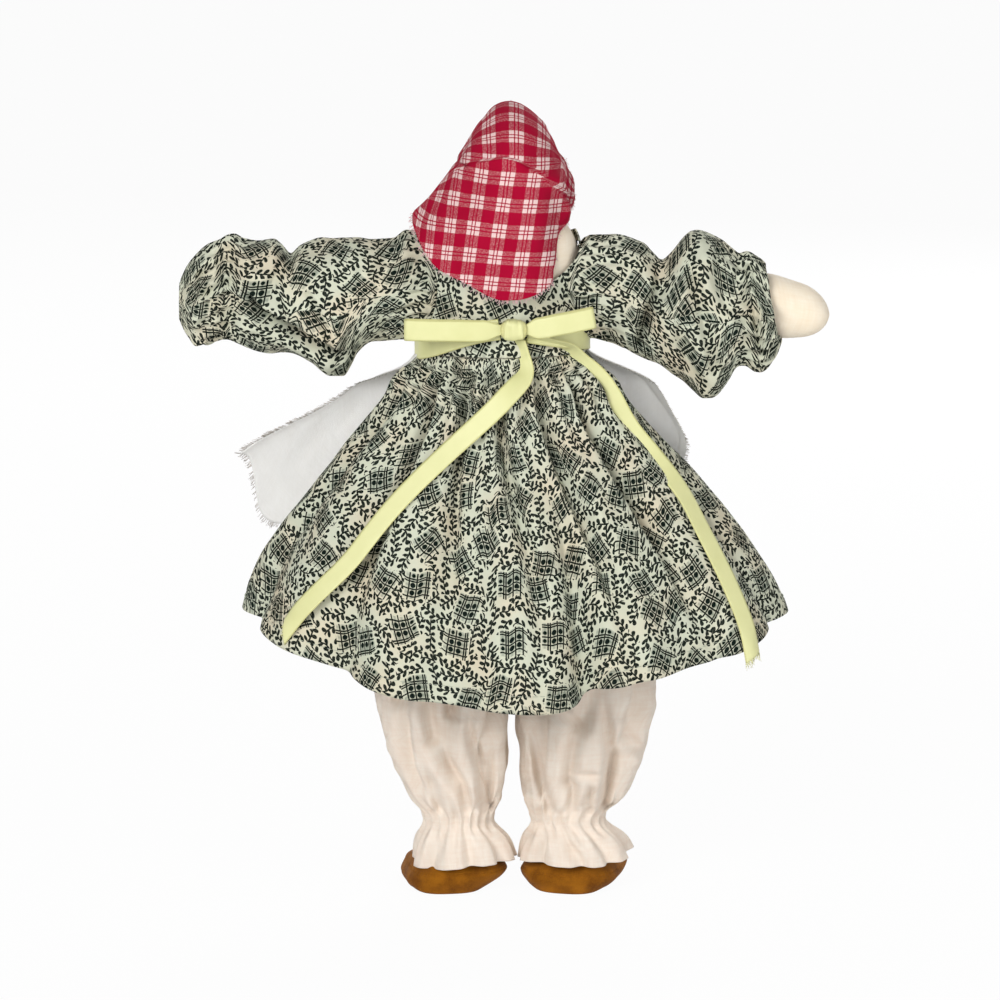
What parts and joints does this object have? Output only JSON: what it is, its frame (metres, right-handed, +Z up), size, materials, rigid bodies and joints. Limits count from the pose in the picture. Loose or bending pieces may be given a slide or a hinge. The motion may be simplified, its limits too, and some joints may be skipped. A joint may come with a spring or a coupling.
{
  "type": "cloth doll",
  "caption": "Standing stuffed cloth duck doll in a calico dress with apron, ribbon bow, bloomers and plaid kerchief; head, arms and legs swing on their seams.",
  "frame": {"origin": "on the floor under the middle of the standing doll", "axes": "+Z up, the face towards -Y, the doll's left towards +X"},
  "size_m": [0.3118, 0.176, 0.384],
  "materials": {
    "muslin": "unbleached cotton muslin, tightly stuffed",
    "bloomer_muslin": "thin tea-coloured cotton muslin",
    "calico": "printed cotton calico, dark green on pale mint",
    "apron_muslin": "white cotton muslin with frayed edges",
    "satin_ribbon": "woven polyester satin, pale yellow",
    "red_plaid": "woven cotton homespun plaid, red with white lines",
    "mustard_cloth": "brushed cotton, mustard",
    "bead": "gloss black",
    "elastic": "narrow white elastic"
  },
  "bodies": {
    "torso": {"torso": "muslin", "dress_bodice": "calico", "dress_skirt": "calico", "apron_panel": "apron_muslin", "bloomers_seat": "bloomer_muslin", "bloomers_waist_elastic": "elastic", "ribbon_waistband": "satin_ribbon", "bow_knot": "satin_ribbon", "bow_loop_left": "satin_ribbon", "bow_loop_right": "satin_ribbon", "ribbon_tail_left": "satin_ribbon", "ribbon_tail_right": "satin_ribbon"},
    "head": {"head": "muslin", "bill": "mustard_cloth", "eye_left": "bead", "eye_right": "bead", "kerchief": "red_plaid", "kerchief_knot": "red_plaid", "kerchief_end_left": "red_plaid", "kerchief_end_right": "red_plaid"},
    "arm_left": {"arm_left": "muslin", "sleeve_left": "calico", "wrist_elastic_left": "elastic"},
    "arm_right": {"arm_right": "muslin", "sleeve_right": "calico", "wrist_elastic_right": "elastic"},
    "leg_left": {"leg_left": "muslin", "bloomer_leg_left": "bloomer_muslin", "ankle_elastic_left": "elastic", "foot_left": "mustard_cloth"},
    "leg_right": {"leg_right": "muslin", "bloomer_leg_right": "bloomer_muslin", "ankle_elastic_right": "elastic", "foot_right": "mustard_cloth"}
  },
  "joints": [
    {"name": "neck_nod", "type": "hinge", "parent": "torso", "child": "head", "pos_m": [-0.006, -0.003, 0.353], "axis": [1, 0, 0], "range_deg": [0, 20], "stiffness_Nm_per_rad": 0.15},
    {"name": "shoulder_left", "type": "hinge", "parent": "torso", "child": "arm_left", "pos_m": [0.0389, 0, 0.3], "axis": [0, -1, 0], "range_deg": [-15, 30], "stiffness_Nm_per_rad": 0.25},
    {"name": "shoulder_right", "type": "hinge", "parent": "torso", "child": "arm_right", "pos_m": [-0.0389, 0, 0.3], "axis": [0, 1, 0], "range_deg": [-15, 30], "stiffness_Nm_per_rad": 0.25},
    {"name": "hip_left", "type": "hinge", "parent": "torso", "child": "leg_left", "pos_m": [0.0235, 0, 0.19], "axis": [1, 0, 0], "range_deg": [-25, 25], "stiffness_Nm_per_rad": 0.3},
    {"name": "hip_right", "type": "hinge", "parent": "torso", "child": "leg_right", "pos_m": [-0.0345, 0, 0.19], "axis": [1, 0, 0], "range_deg": [-25, 25], "stiffness_Nm_per_rad": 0.3}
  ]
}
